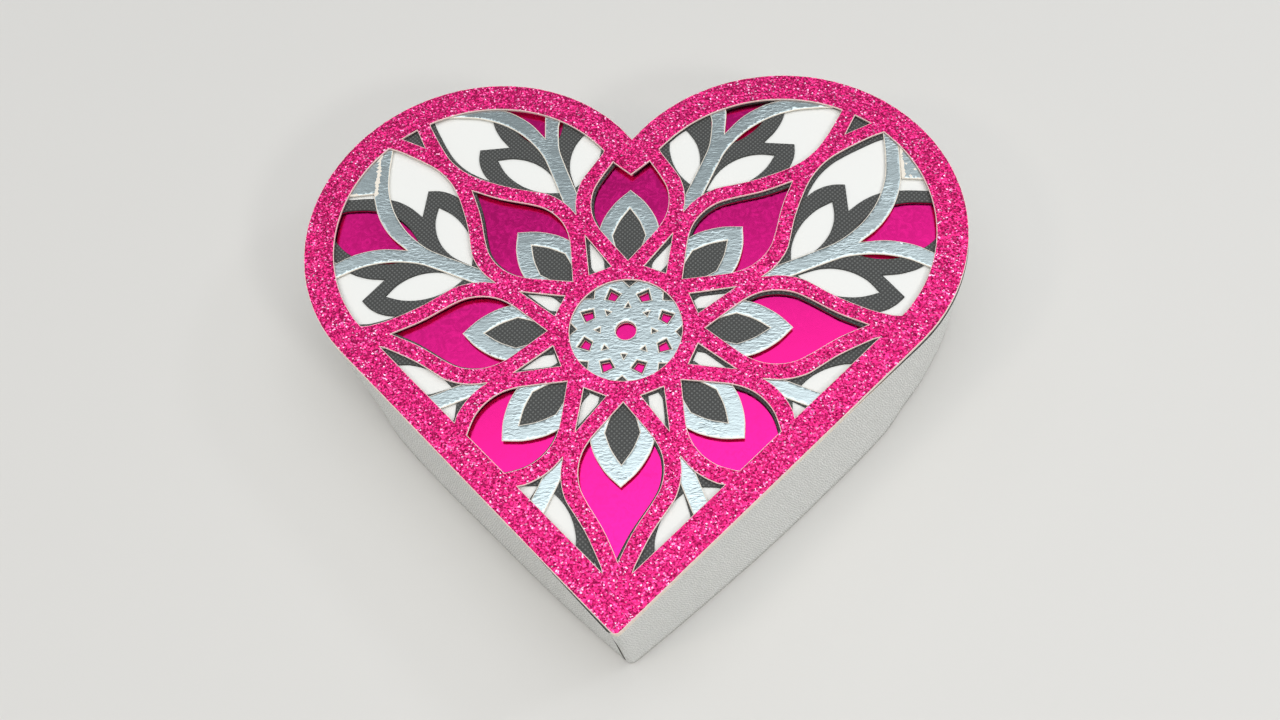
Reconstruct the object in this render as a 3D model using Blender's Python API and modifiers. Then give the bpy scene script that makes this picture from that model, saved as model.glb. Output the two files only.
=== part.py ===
# Heart-shaped keepsake box in card: a lift-off lid with a pierced, layered top and a deep skirt, over a tray.
# Metres, +Z up. The origin is on the table below the middle of the heart. The tip points to -Y.
import math

import bmesh
import bpy
from mathutils import Matrix, Vector

MM = 0.001

# Outline of the lid: two round lobes, and two straight sides that run down at 45 degrees to the tip
LOBE_RADIUS = 38.8 * MM
LOBE_SPREAD = 31.2 * MM        # from the middle line to the centre of each lobe
TIP_ROUND = 1.2 * MM
OVERALL_HEIGHT = 30.5 * MM

# Thickness of each card, and the spaces between them
GLITTER_CARD = 0.45 * MM
PLAIN_CARD = 0.3 * MM          # the silver, charcoal and white layers
MIRROR_CARD = 0.35 * MM
LAYER_GAP = 0.25 * MM
JOIN_GAP = 0.3 * MM            # where one piece stands on or meets another
SKIRT_CARD = 0.45 * MM
TRAY_CARD = 0.5 * MM

# The skirt hangs just inside the top's edge, clear of the table, and slides over the tray
SKIRT_INSET = 0.6 * MM
SKIRT_LIFT = 0.4 * MM
TRAY_CLEARANCE = 1.2 * MM
BOW_LEFT = 1.6 * MM            # how far each free lower edge has sprung out, where it swells most
BOW_RIGHT = 1.9 * MM
BOW_SKEW = 0.6                 # below 1, the swell is widest nearer to the lobe than to the tip
BOW_FADE = 1.4                 # the swell fades with height as this power
TIP_DRAW = 1.2 * MM            # how far the lower corner at the tip is drawn in, towards the middle
DRAW_POWER = 6                 # how soon that fades away from the tip
SKIRT_ROWS = 3

# The pierced pattern: petals and the bays between them, round a ring, inside a frame
PETALS = 8
FRAME_WIDTH = 6.5 * MM
FRAME_CLEFT_DEPTH = 9.2 * MM   # the frame is deeper below the cleft
FRAME_CLEFT_SPREAD = 3.8 * MM
RING_INNER = 11.5 * MM
STRIP_WIDTH = 3.45 * MM        # the glitter strip round each petal
HIDDEN_EDGE = 0.6 * MM         # how far a lower layer's edge hides below the strip above it
WHITE_EDGE = 0.25 * MM         # how far the white layer's edge hides below the charcoal

# A petal window, along its own axis from the middle
PETAL_ROOT = 16.1 * MM
PETAL_SHOULDER_START = 23.9 * MM
PETAL_SHOULDER_END = 37.0 * MM
PETAL_SHOULDER = 6.2 * MM      # half width at both ends of the round shoulder
PETAL_TIP = 48.6 * MM
SHOULDER_BOW = 0.159           # rise of the arc over its chord
TIP_BOW = -0.03
SHOULDER_LEAVE = 66.0          # degrees from the axis at which a strip's outer edge leaves the shoulder

# A small triangle window between two petal roots
TRIANGLE_START = 14.9 * MM
TRIANGLE_HALF = 2.45 * MM
TRIANGLE_TIP = 24.1 * MM

# Beyond a petal's tip the strips close to a neck, then open again to the frame
NECK_START = 49.5 * MM
NECK_START_HALF = 3.2 * MM
NECK_END = 62.0 * MM
NECK_END_HALF = 2.6 * MM
FLARE_END = 74.0 * MM
FLARE_END_HALF = 7.0 * MM
BAY_REACH = 96.0 * MM          # beyond the frame, which cuts the bay off
NECK_BOW = -0.09
FLARE_BOW = -0.03
LOBE_WINDOW_START = 65.0 * MM  # the small triangle between the strips and the frame, on each lobe
LOBE_WINDOW_END = 75.0 * MM
LOBE_WINDOW_HALF = 3.6 * MM

# Silver layer: the rosette in the ring, a pointed chevron in each petal and a forked branch in each bay
HUB_HOLE = 2.15 * MM
ROSETTE_TWIST = -2.5           # degrees
KITE_START = 7.1 * MM
KITE_MIDDLE = 8.35 * MM
KITE_HALF = 1.72 * MM
KITE_END = 10.45 * MM
KITE_LEDGE = 0.28 * MM         # the dark border that the charcoal shows inside a kite
NICK_START = 5.3 * MM
NICK_LENGTH = 1.1 * MM
NICK_HALF = 0.55 * MM
RIM_NOTCH_START = 10.15 * MM
RIM_NOTCH_END = 12.3 * MM
RIM_NOTCH_HALF = 2.2 * MM
CHEVRON_ROOT = 14.0 * MM
CHEVRON_ROOT_HALF = 5.4 * MM
CHEVRON_SHOULDER = 22.7 * MM
CHEVRON_HALF = 6.8 * MM
CHEVRON_TIP = 33.7 * MM
CHEVRON_BOW = 0.09
LEAF_ROOT = 15.5 * MM
LEAF_MIDDLE = 22.4 * MM
LEAF_HALF = 3.45 * MM
LEAF_TIP = 29.1 * MM
LEAF_ROOT_BOW = 0.08
LEAF_TIP_BOW = 0.05
STEM_START = 26.0 * MM
STEM_HALF = 1.75 * MM
STEM_END = 43.0 * MM
STEM_END_HALF = 1.75 * MM
FORK_START = 47.6 * MM
FORK_START_HALF = 2.0 * MM
FORK_CROTCH = 51.6 * MM
BRANCH_TWIST = -0.5            # degrees
# Corners of a branch of the fork: along the bay's axis, and to the side of it
UNDER_KNEE = 62.4 * MM
UNDER_KNEE_SIDE = 11.5 * MM
UNDER_BEND = 67.1 * MM
UNDER_BEND_SIDE = 21.9 * MM
BRANCH_END = 68.9 * MM
BRANCH_END_SIDE = 27.6 * MM
BRANCH_CAP = 71.7 * MM
BRANCH_CAP_SIDE = 26.6 * MM
UPPER_BEND = 68.9 * MM
UPPER_BEND_SIDE = 18.2 * MM
UPPER_KNEE_REACH = 2.6 * MM    # beyond the knee of the under edge
UPPER_KNEE_SIDE = 9.2 * MM
UNDER_BOW = -0.1
UNDER_END_BOW = -0.03
UPPER_END_BOW = 0.02
UPPER_BOW = 0.1
CORNER_EDGE_RIGHT = 57.2 * MM  # the loose silver corner by each lobe's frame: its upright edge
CORNER_EDGE_LEFT = 55.6 * MM
CORNER_LOW = 34.6 * MM
CORNER_SLOPE = 0.5 * MM
CORNER_RUN = 5.6 * MM

# Charcoal layer: turned a little against the glitter, with leaf-shaped openings in each bay
CHARCOAL_TWIST = -0.9          # degrees
CHARCOAL_TRIM = 0.2 * MM       # how much smaller its outline is
INNER_TRIANGLE_START = 15.2 * MM
INNER_TRIANGLE_HALF = 2.06 * MM
INNER_TRIANGLE_TIP = 22.9 * MM
LENS_ROOT = 36.8 * MM
LENS_ROOT_SIDE = 1.6 * MM
LENS_TIP = 50.5 * MM
LENS_TIP_SIDE = 11.8 * MM
LENS_HEEL = 41.5 * MM
LENS_HEEL_SIDE = 2.0 * MM
LENS_OUTER_BOW = 0.164
LENS_INNER_BOW = 0.155
BAY_LEAF_ROOT = 48.3 * MM
BAY_LEAF_MIDDLE = 59.0 * MM
BAY_LEAF_HALF = 6.2 * MM
BAY_LEAF_TIP = 73.0 * MM
BAY_LEAF_ROOT_BOW = 0.11
BAY_LEAF_TIP_BOW = 0.11
# The charcoal's saw edge in a bay: along the bay's axis, and to the side of it
SAW_START = 45.5 * MM
SAW_START_SIDE = 14.7 * MM
SAW_NOTCH = 54.6 * MM
SAW_NOTCH_SIDE = 14.6 * MM
SAW_TOOTH = 52.6 * MM
SAW_TOOTH_SIDE = 8.3 * MM
SAW_CURVE = 60.4 * MM
SAW_CURVE_SIDE = 9.7 * MM
SAW_END = 69.8 * MM
SAW_END_SIDE = 6.2 * MM
OUTER_LEAF_END = 85.0 * MM     # beyond the frame
OUTER_LEAF_END_SIDE = 3.0 * MM
SAW_START_BOW = 0.13
SAW_TOOTH_BOW = 0.06
SAW_CURVE_BOW = 0.04

ARC_STEP = 16.0                # degrees between points on small arcs
LOBE_STEP = 7.5                # degrees between points on the lobes
RING_STEPS = 32                # points round the ring's window
HUB_STEPS = 18
CUT_OVER = 0.5 * MM            # how far a cutter passes the face that it cuts

# Heights, from the top down
GLITTER_TOP = OVERALL_HEIGHT
SILVER_TOP = GLITTER_TOP - GLITTER_CARD - LAYER_GAP
CHARCOAL_TOP = SILVER_TOP - PLAIN_CARD - LAYER_GAP
WHITE_TOP = CHARCOAL_TOP - PLAIN_CARD - LAYER_GAP
MIRROR_TOP = WHITE_TOP - PLAIN_CARD - LAYER_GAP
WALL_TOP = MIRROR_TOP - MIRROR_CARD - JOIN_GAP
TRAY_INSET = SKIRT_INSET + SKIRT_CARD + TRAY_CLEARANCE

# Places of the heart's own points: the box of the outline is centred on the origin
HALF_SECTOR = 180.0 / PETALS
TIP_DROP = LOBE_SPREAD + LOBE_RADIUS * math.sqrt(2)
TIP_LOSS = TIP_ROUND * (math.sqrt(2) - 1)
LOBE_Y = (TIP_DROP - TIP_LOSS - LOBE_RADIUS) / 2


def clear_scene():
    """Removes every object, so that the script can be run again."""
    for item in list(bpy.data.objects):
        bpy.data.objects.remove(item, do_unlink=True)


def new_collection(name):
    """A collection linked to the scene, emptied by clear_scene when it is there already."""
    group = bpy.data.collections.get(name) or bpy.data.collections.new(name)
    if name not in bpy.context.scene.collection.children:
        bpy.context.scene.collection.children.link(group)
    return group


def finish(name, color, roughness, metallic=0.0):
    """A Principled material in linear colour."""
    material = bpy.data.materials.new(name)
    material.use_nodes = True
    shader = material.node_tree.nodes["Principled BSDF"]
    shader.inputs["Base Color"].default_value = (*color, 1.0)
    shader.inputs["Roughness"].default_value = roughness
    shader.inputs["Metallic"].default_value = metallic
    return material


# Flat outlines are lists of (x, y). A corner (x, y, bow) starts an arc to the next corner, which rises
# to the left of its chord by bow times the chord's length.

def arc_points(start, end, bow):
    """The points from start up to, but without, end: on a circle that turns 4 atan(2 bow) between them."""
    if abs(bow) < 1e-6:
        return [start]
    turn = 4 * math.atan(2 * bow)
    steps = max(2, round(abs(math.degrees(turn)) / ARC_STEP))
    reach = 0.5 / math.tan(turn / 2)
    centre_x = (start[0] + end[0]) / 2 + (end[1] - start[1]) * reach
    centre_y = (start[1] + end[1]) / 2 - (end[0] - start[0]) * reach
    points = []
    for step in range(steps):
        angle = -turn * step / steps
        out_x = start[0] - centre_x
        out_y = start[1] - centre_y
        points.append((centre_x + out_x * math.cos(angle) - out_y * math.sin(angle),
                       centre_y + out_x * math.sin(angle) + out_y * math.cos(angle)))
    return points


def open_path(corners):
    """The points along corners, both ends included."""
    points = []
    for corner, following in zip(corners, corners[1:]):
        bow = corner[2] if len(corner) > 2 else 0.0
        points += arc_points(corner[:2], following[:2], bow)
    return points + [corners[-1][:2]]


def closed_path(corners):
    """The outline through corners and back to the first."""
    return open_path(corners + [corners[0][:2]])[:-1]


def both_sides(corners):
    """An outline from its upper half: the path, then its mirror image in the X axis."""
    half = open_path(corners)
    other = [(x, -y) for x, y in reversed(half) if abs(y) > 1e-7]
    return half + other


def turned(points, degrees):
    """The points turned about the origin, anticlockwise."""
    turn = Matrix.Rotation(math.radians(degrees), 2)
    return [tuple(turn @ Vector(point)) for point in points]


def flipped(points):
    """The points mirrored in the X axis."""
    return [(x, -y) for x, y in reversed(points)]


def grown(points, amount):
    """The outline moved outwards by amount, each corner along its mitre, which is cut at 2.5 amounts."""
    count = len(points)
    area = sum(points[i][0] * points[(i + 1) % count][1] - points[(i + 1) % count][0] * points[i][1]
               for i in range(count))
    side = 1.0 if area > 0 else -1.0
    moved = []
    for i in range(count):
        here = Vector(points[i])
        into = (here - Vector(points[i - 1])).normalized()
        away = (Vector(points[(i + 1) % count]) - here).normalized()
        normal_in = Vector((into.y, -into.x)) * side
        normal_out = Vector((away.y, -away.x)) * side
        mitre = normal_in + normal_out
        length = min(2.0 / max(mitre.length, 1e-6), 2.5)
        moved.append(tuple(here + mitre.normalized() * length * amount))
    return moved


def round_petals(points, offset=0.0):
    """A copy of the outline on every petal axis, or on the lines between them with an offset in degrees."""
    return [turned(points, offset + index * 360.0 / PETALS) for index in range(PETALS)]


def circle(radius, steps):
    """A regular outline about the origin."""
    return [(radius * math.cos(2 * math.pi * step / steps), radius * math.sin(2 * math.pi * step / steps))
            for step in range(steps)]


def heart_side(inset, cleft=0.0):
    """The right side of the heart from the cleft to the foot of the lobe, moved in by inset. cleft is the
    distance from the middle line at which it starts."""
    radius = LOBE_RADIUS - inset
    reach = max(-1.0, min(1.0, (cleft - LOBE_SPREAD) / radius))
    start = math.degrees(math.acos(reach))
    steps = round((start + 45.0) / LOBE_STEP)
    points = []
    for step in range(steps + 1):
        angle = math.radians(start - (start + 45.0) * step / steps)
        points.append((LOBE_SPREAD + radius * math.cos(angle), LOBE_Y + radius * math.sin(angle)))
    return points


def tip_y(inset):
    """Where the two straight sides, moved in by inset, would meet."""
    return LOBE_Y - TIP_DROP + inset * math.sqrt(2)


def heart(inset=0.0, tip_round=0.0, cleft_depth=0.0, cleft_spread=0.0):
    """The heart's outline, moved in by inset. With a cleft depth, its cleft is a straight notch whose
    bottom is that far below the cleft of the lid's own outline."""
    right = heart_side(inset, cleft_spread)
    steps = 3 if tip_round > 0 else 0
    middle = tip_y(inset) + tip_round * math.sqrt(2)
    tip = [(0.0, tip_y(inset))]
    if steps:
        tip = [(tip_round * math.cos(math.radians(-45 - 90 * step / steps)),
                middle + tip_round * math.sin(math.radians(-45 - 90 * step / steps)))
               for step in range(steps + 1)]
    left = [(-x, y) for x, y in reversed(right)]
    notch = []
    if cleft_depth > 0:
        notch = [(0.0, heart_side(0.0)[0][1] - cleft_depth)]
    elif abs(right[0][0]) < 1e-6:
        left = left[:-1]
    return notch + right + tip + left


# Outlines of the pattern, each along its own axis

def petal():
    """The pointed window of a petal: straight from its root, round at the shoulder, then in to its tip."""
    return both_sides([(PETAL_ROOT, 0.0),
                       (PETAL_SHOULDER_START, PETAL_SHOULDER, SHOULDER_BOW),
                       (PETAL_SHOULDER_END, PETAL_SHOULDER, TIP_BOW),
                       (PETAL_TIP, 0.0)])


def triangle(start, half, tip):
    """A triangle with its flat side towards the middle."""
    return [(start, -half), (tip, 0.0), (start, half)]


def bay():
    """The window between two petals. Its sides run one strip away from the petals' shoulders, narrow to
    the neck and open to the frame. It starts where it meets the line between the two petals."""
    chord = PETAL_SHOULDER_END - PETAL_SHOULDER_START
    rise = SHOULDER_BOW * chord
    shoulder_radius = (chord * chord / 4 + rise * rise) / (2 * rise)
    centre = Vector(((PETAL_SHOULDER_START + PETAL_SHOULDER_END) / 2,
                     PETAL_SHOULDER + rise - shoulder_radius))
    radius = shoulder_radius + STRIP_WIDTH
    line = Vector((math.cos(math.radians(HALF_SECTOR)), math.sin(math.radians(HALF_SECTOR))))
    along = line.dot(centre)
    reach = max(0.0, along * along - centre.length_squared + radius * radius)
    apex = line * (along + math.sqrt(reach))
    first = math.atan2(apex.y - centre.y, apex.x - centre.x)
    last = math.radians(SHOULDER_LEAVE)
    shoulder = [tuple(apex)]
    for step in range(1, 4):
        angle = first + (last - first) * step / 3
        shoulder.append((centre.x + radius * math.cos(angle), centre.y + radius * math.sin(angle)))
    sides = open_path([(*shoulder[-1], TIP_BOW),
                       (NECK_START, NECK_START_HALF, NECK_BOW),
                       (NECK_END, NECK_END_HALF, FLARE_BOW),
                       (FLARE_END, FLARE_END_HALF)])
    lower = turned(shoulder + sides[1:], -HALF_SECTOR)
    beyond = (BAY_REACH, lower[-1][1])
    upper = flipped(lower + [beyond])
    return lower + [beyond] + upper[:-1]


def chevron():
    """The silver shape at a petal's root, which ends in a point inside the petal."""
    return both_sides([(CHEVRON_ROOT, CHEVRON_ROOT_HALF),
                       (CHEVRON_SHOULDER, CHEVRON_HALF, CHEVRON_BOW),
                       (CHEVRON_TIP, 0.0)])


def leaf():
    """The pointed opening inside a chevron."""
    return both_sides([(LEAF_ROOT, 0.0, LEAF_ROOT_BOW),
                       (LEAF_MIDDLE, LEAF_HALF, LEAF_TIP_BOW),
                       (LEAF_TIP, 0.0)])


def branch():
    """The silver stem of a bay, which forks into two branches that curve away from each other."""
    return both_sides([(STEM_START, STEM_HALF),
                       (STEM_END, STEM_END_HALF),
                       (FORK_START, FORK_START_HALF, UNDER_BOW),
                       (UNDER_KNEE, UNDER_KNEE_SIDE, UNDER_END_BOW),
                       (UNDER_BEND, UNDER_BEND_SIDE),
                       (BRANCH_END, BRANCH_END_SIDE),
                       (BRANCH_CAP, BRANCH_CAP_SIDE),
                       (UPPER_BEND, UPPER_BEND_SIDE, UPPER_END_BOW),
                       (UNDER_KNEE + UPPER_KNEE_REACH, UPPER_KNEE_SIDE, UPPER_BOW),
                       (FORK_CROTCH, 0.0)])


def kite():
    """A hole of the rosette: a kite with its long end towards the rim."""
    return [(KITE_START, 0.0), (KITE_MIDDLE, -KITE_HALF), (KITE_END, 0.0), (KITE_MIDDLE, KITE_HALF)]


def lens():
    """The leaf-shaped opening beside a stem."""
    return closed_path([(LENS_ROOT, LENS_ROOT_SIDE, LENS_OUTER_BOW),
                        (LENS_TIP, LENS_TIP_SIDE, LENS_INNER_BOW),
                        (LENS_HEEL, LENS_HEEL_SIDE)])


def bay_leaf():
    """The pointed opening on a bay's axis, beyond the fork."""
    return both_sides([(BAY_LEAF_ROOT, 0.0, BAY_LEAF_ROOT_BOW),
                       (BAY_LEAF_MIDDLE, BAY_LEAF_HALF, BAY_LEAF_TIP_BOW),
                       (BAY_LEAF_TIP, 0.0)])


def outer_leaf():
    """The part of a bay beyond the charcoal's saw edge: a notch, a tooth and a curve out to the frame."""
    slope = math.tan(math.radians(HALF_SECTOR))
    return closed_path([(SAW_START, SAW_START_SIDE, SAW_START_BOW),
                        (SAW_NOTCH, SAW_NOTCH_SIDE),
                        (SAW_TOOTH, SAW_TOOTH_SIDE, SAW_TOOTH_BOW),
                        (SAW_CURVE, SAW_CURVE_SIDE, SAW_CURVE_BOW),
                        (SAW_END, SAW_END_SIDE),
                        (OUTER_LEAF_END, OUTER_LEAF_END_SIDE),
                        (OUTER_LEAF_END, slope * OUTER_LEAF_END - JOIN_GAP),
                        (SAW_START, slope * SAW_START - JOIN_GAP)])


def lobe_windows():
    """The small triangles between strips and frame on the two lobes."""
    shape = triangle(LOBE_WINDOW_END, LOBE_WINDOW_HALF, LOBE_WINDOW_START)
    return [turned(shape, 45.0), turned(shape, 135.0)]


def silver_corners():
    """The loose silver corner beside each lobe's frame, right and left."""
    corners = []
    for side, edge in ((1, CORNER_EDGE_RIGHT), (-1, CORNER_EDGE_LEFT)):
        outline = [(edge, LOBE_Y + LOBE_RADIUS), (edge, CORNER_LOW),
                   (edge + CORNER_RUN, CORNER_LOW - CORNER_SLOPE),
                   (LOBE_SPREAD + LOBE_RADIUS, CORNER_LOW - CORNER_SLOPE),
                   (LOBE_SPREAD + LOBE_RADIUS, LOBE_Y + LOBE_RADIUS)]
        corners.append([(side * x, y) for x, y in outline])
    return corners


# Solids

def slab(name, outlines, low, high, collection):
    """Flat outlines made into one mesh between two heights."""
    flat = bpy.data.curves.new(name, "CURVE")
    flat.dimensions = "2D"
    flat.fill_mode = "BOTH"
    flat.extrude = (high - low) / 2
    for outline in outlines:
        spline = flat.splines.new("POLY")
        spline.points.add(len(outline) - 1)
        for point, (x, y) in zip(spline.points, outline):
            point.co = (x, y, 0.0, 1.0)
        spline.use_cyclic_u = True
    drawing = bpy.data.objects.new(name + "_drawing", flat)
    drawing.location.z = (low + high) / 2
    collection.objects.link(drawing)
    bpy.context.view_layer.update()
    graph = bpy.context.evaluated_depsgraph_get()
    mesh = bpy.data.meshes.new_from_object(drawing.evaluated_get(graph))
    shell = bmesh.new()
    shell.from_mesh(mesh)
    bmesh.ops.remove_doubles(shell, verts=shell.verts, dist=1e-6)
    bmesh.ops.recalc_face_normals(shell, faces=shell.faces)
    shell.to_mesh(mesh)
    shell.free()
    solid = bpy.data.objects.new(name, mesh)
    solid.matrix_world = drawing.matrix_world.copy()
    bpy.data.objects.remove(drawing, do_unlink=True)
    collection.objects.link(solid)
    return solid


def boolean(target, tool, operation):
    """Adds an exact Boolean with another object."""
    cut = target.modifiers.new(tool.name, "BOOLEAN")
    cut.operation = operation
    cut.solver = "EXACT"
    cut.object = tool


def cutter(name, outlines, top, thickness, over=1):
    """A hidden tool through a layer, longer than the layer by over times CUT_OVER at each end."""
    reach = over * CUT_OVER
    tool = slab(name, outlines, top - thickness - reach, top + reach, cutters)
    tool.hide_render = True
    tool.display_type = "WIRE"
    return tool


def layer(name, top, thickness, material, twist=0.0, inset=0.0):
    """A plain heart of card. One turned by twist degrees is trimmed to the box of the lid's outline."""
    wide = LOBE_SPREAD + LOBE_RADIUS
    deep = LOBE_Y + LOBE_RADIUS
    outline = [(max(-wide, min(wide, x)), max(-deep, min(deep, y)))
               for x, y in turned(heart(inset, TIP_ROUND), twist)]
    sheet = slab(name, [outline], top - thickness, top, box)
    sheet.data.materials.append(material)
    return sheet


def frame_opening(name, top, thickness, margin=0.0, twist=0.0):
    """The heart inside the frame, which bounds every window of a layer."""
    inner = heart(FRAME_WIDTH - margin, 0.0, FRAME_CLEFT_DEPTH - margin, FRAME_CLEFT_SPREAD)
    return cutter(name, [turned(inner, twist)], top, thickness, 2)


def strip(name, inset, card, low, high, side, corner_gap, bow, draw, rows, material):
    """Half of a wall: a card strip from the cleft to the tip, on edge. side is 1 on the right and -1 on the
    left. It ends corner_gap before the tip. Its lower edge swells by bow, as a skewed half wave along the
    straight side, and is drawn in by draw at the tip. Both fade with the height above it."""
    curve = heart_side(inset, JOIN_GAP / 2)
    foot = Vector(curve[-1])
    tip = Vector((0.0, tip_y(inset)))
    end = tip + (foot - tip).normalized() * corner_gap
    steps = 8
    straight = [tuple(foot.lerp(end, step / steps)) for step in range(1, steps + 1)]
    line = curve + straight
    shares = [0.0] * len(curve) + [step / steps for step in range(1, steps + 1)]
    surface = bmesh.new()
    levels = []
    for row in range(rows + 1):
        share = row / rows
        push = bow * (1 - share) ** BOW_FADE / math.sqrt(2)
        pull = draw * (1 - share)
        height = low + (high - low) * share
        level = []
        for (x, y), along in zip(line, shares):
            wave = push * math.sin(math.pi * along ** BOW_SKEW)
            drawn = pull * along ** DRAW_POWER
            level.append(surface.verts.new((side * (x + wave), y - wave + drawn, height)))
        levels.append(level)
    for lower, upper in zip(levels, levels[1:]):
        for a, b, c, d in zip(lower, lower[1:], upper[1:], upper):
            surface.faces.new((b, a, d, c) if side > 0 else (a, b, c, d))
    mesh = bpy.data.meshes.new(name)
    surface.to_mesh(mesh)
    surface.free()
    wall = bpy.data.objects.new(name, mesh)
    box.objects.link(wall)
    mesh.materials.append(material)
    shell = wall.modifiers.new("card", "SOLIDIFY")
    shell.thickness = card
    shell.offset = -1.0
    shell.use_even_offset = True
    shell.use_rim = True
    return wall


clear_scene()
box = new_collection("heart_box")
cutters = new_collection("cutters")

glitter = finish("pink_glitter", (0.60, 0.012, 0.16), 0.45)
silver = finish("silver_foil", (0.55, 0.62, 0.64), 0.3, 1.0)
charcoal = finish("charcoal_card", (0.07, 0.073, 0.07), 0.6)
white = finish("white_card", (0.82, 0.82, 0.80), 0.7)
mirror = finish("pink_mirror_foil", (0.85, 0.01, 0.33), 0.12, 1.0)
wall_card = finish("linen_card", (0.60, 0.61, 0.57), 0.75)

# Glitter layer: the frame, the ring and the strips between petals, triangles and bays
glitter_layer = layer("glitter_layer", GLITTER_TOP, GLITTER_CARD, glitter)
root_triangle = triangle(TRIANGLE_START, TRIANGLE_HALF, TRIANGLE_TIP)
glitter_windows = cutter("glitter_windows",
                         round_petals(petal())
                         + round_petals(root_triangle, HALF_SECTOR)
                         + round_petals(bay(), HALF_SECTOR)
                         + lobe_windows()
                         + [circle(RING_INNER, RING_STEPS)],
                         GLITTER_TOP, GLITTER_CARD)
boolean(glitter_windows, frame_opening("glitter_frame", GLITTER_TOP, GLITTER_CARD), "INTERSECT")
boolean(glitter_layer, glitter_windows, "DIFFERENCE")

# Silver layer: the same windows a little larger, with chevrons, branches and corners left standing in them
silver_layer = layer("silver_layer", SILVER_TOP, PLAIN_CARD, silver)
silver_windows = cutter("silver_windows",
                        [grown(shape, HIDDEN_EDGE) for shape in
                         round_petals(petal())
                         + round_petals(bay(), HALF_SECTOR)],
                        SILVER_TOP, PLAIN_CARD)
silver_shapes = cutter("silver_shapes",
                       round_petals(chevron()) + round_petals(branch(), HALF_SECTOR + BRANCH_TWIST),
                       SILVER_TOP, PLAIN_CARD, 3)
boolean(silver_windows, frame_opening("silver_frame", SILVER_TOP, PLAIN_CARD, HIDDEN_EDGE), "INTERSECT")
boolean(silver_windows, silver_shapes, "DIFFERENCE")
boolean(silver_windows, cutter("silver_corners", silver_corners(), SILVER_TOP, PLAIN_CARD, 3), "DIFFERENCE")
nick = [(NICK_START, NICK_HALF), (NICK_START, -NICK_HALF), (NICK_START + NICK_LENGTH, 0.0)]
rim_notch = triangle(RIM_NOTCH_END, RIM_NOTCH_HALF, RIM_NOTCH_START)
silver_holes = cutter("silver_holes",
                      round_petals(leaf())
                      + round_petals(grown(root_triangle, HIDDEN_EDGE), HALF_SECTOR)
                      + [grown(shape, HIDDEN_EDGE) for shape in lobe_windows()]
                      + round_petals(nick, ROSETTE_TWIST)
                      + round_petals(rim_notch, ROSETTE_TWIST)
                      + round_petals(kite(), HALF_SECTOR + ROSETTE_TWIST)
                      + [circle(HUB_HOLE, HUB_STEPS)],
                      SILVER_TOP, PLAIN_CARD, 2)
boolean(silver_layer, silver_windows, "DIFFERENCE")
boolean(silver_layer, silver_holes, "DIFFERENCE")

# Charcoal layer: the whole card lies turned. It is solid below the chevrons, with leaf-shaped openings beside
# and beyond each stem.
charcoal_layer = layer("charcoal_layer", CHARCOAL_TOP, PLAIN_CARD, charcoal, CHARCOAL_TWIST, CHARCOAL_TRIM)
sides = [lens(), flipped(lens())]
inner_triangle = triangle(INNER_TRIANGLE_START, INNER_TRIANGLE_HALF, INNER_TRIANGLE_TIP)
charcoal_windows = cutter("charcoal_windows",
                          round_petals(petal(), CHARCOAL_TWIST)
                          + round_petals(inner_triangle, HALF_SECTOR + CHARCOAL_TWIST)
                          + round_petals(sides[0], HALF_SECTOR + CHARCOAL_TWIST)
                          + round_petals(sides[1], HALF_SECTOR + CHARCOAL_TWIST)
                          + round_petals(bay_leaf(), HALF_SECTOR + CHARCOAL_TWIST),
                          CHARCOAL_TOP, PLAIN_CARD)
charcoal_frame = frame_opening("charcoal_frame", CHARCOAL_TOP, PLAIN_CARD, HIDDEN_EDGE, CHARCOAL_TWIST)
boolean(charcoal_windows, charcoal_frame, "INTERSECT")
boolean(charcoal_windows, cutter("charcoal_chevrons", round_petals(grown(chevron(), -HIDDEN_EDGE)),
                                 CHARCOAL_TOP, PLAIN_CARD, 3), "DIFFERENCE")
charcoal_bays = cutter("charcoal_bays", round_petals(bay(), HALF_SECTOR + CHARCOAL_TWIST),
                       CHARCOAL_TOP, PLAIN_CARD)
outer_leaves = cutter("outer_leaves",
                      round_petals(outer_leaf(), HALF_SECTOR + CHARCOAL_TWIST)
                      + round_petals(flipped(outer_leaf()), HALF_SECTOR + CHARCOAL_TWIST),
                      CHARCOAL_TOP, PLAIN_CARD, 3)
boolean(charcoal_bays, charcoal_frame, "INTERSECT")
boolean(charcoal_bays, outer_leaves, "INTERSECT")
small_kite = grown(kite(), -KITE_LEDGE)
charcoal_holes = cutter("charcoal_holes",
                        round_petals(small_kite, HALF_SECTOR + ROSETTE_TWIST) + [circle(HUB_HOLE, HUB_STEPS)],
                        CHARCOAL_TOP, PLAIN_CARD)
boolean(charcoal_layer, charcoal_windows, "DIFFERENCE")
boolean(charcoal_layer, charcoal_bays, "DIFFERENCE")
boolean(charcoal_layer, charcoal_holes, "DIFFERENCE")

# White layer: open only where the pink mirror shows
white_layer = layer("white_layer", WHITE_TOP, PLAIN_CARD, white)
white_windows = cutter("white_windows",
                       [grown(shape, WHITE_EDGE) for shape in
                        round_petals(petal(), CHARCOAL_TWIST)
                        + round_petals(bay_leaf(), HALF_SECTOR + CHARCOAL_TWIST)],
                       WHITE_TOP, PLAIN_CARD)
boolean(white_windows, frame_opening("white_frame", WHITE_TOP, PLAIN_CARD, HIDDEN_EDGE), "INTERSECT")
white_holes = cutter("white_holes",
                     round_petals(small_kite, HALF_SECTOR + ROSETTE_TWIST) + [circle(HUB_HOLE, HUB_STEPS)],
                     WHITE_TOP, PLAIN_CARD)
boolean(white_layer, white_windows, "DIFFERENCE")
boolean(white_layer, white_holes, "DIFFERENCE")

# Mirror layer: the whole heart, which closes the lid
layer("pink_mirror_layer", MIRROR_TOP, MIRROR_CARD, mirror)

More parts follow.
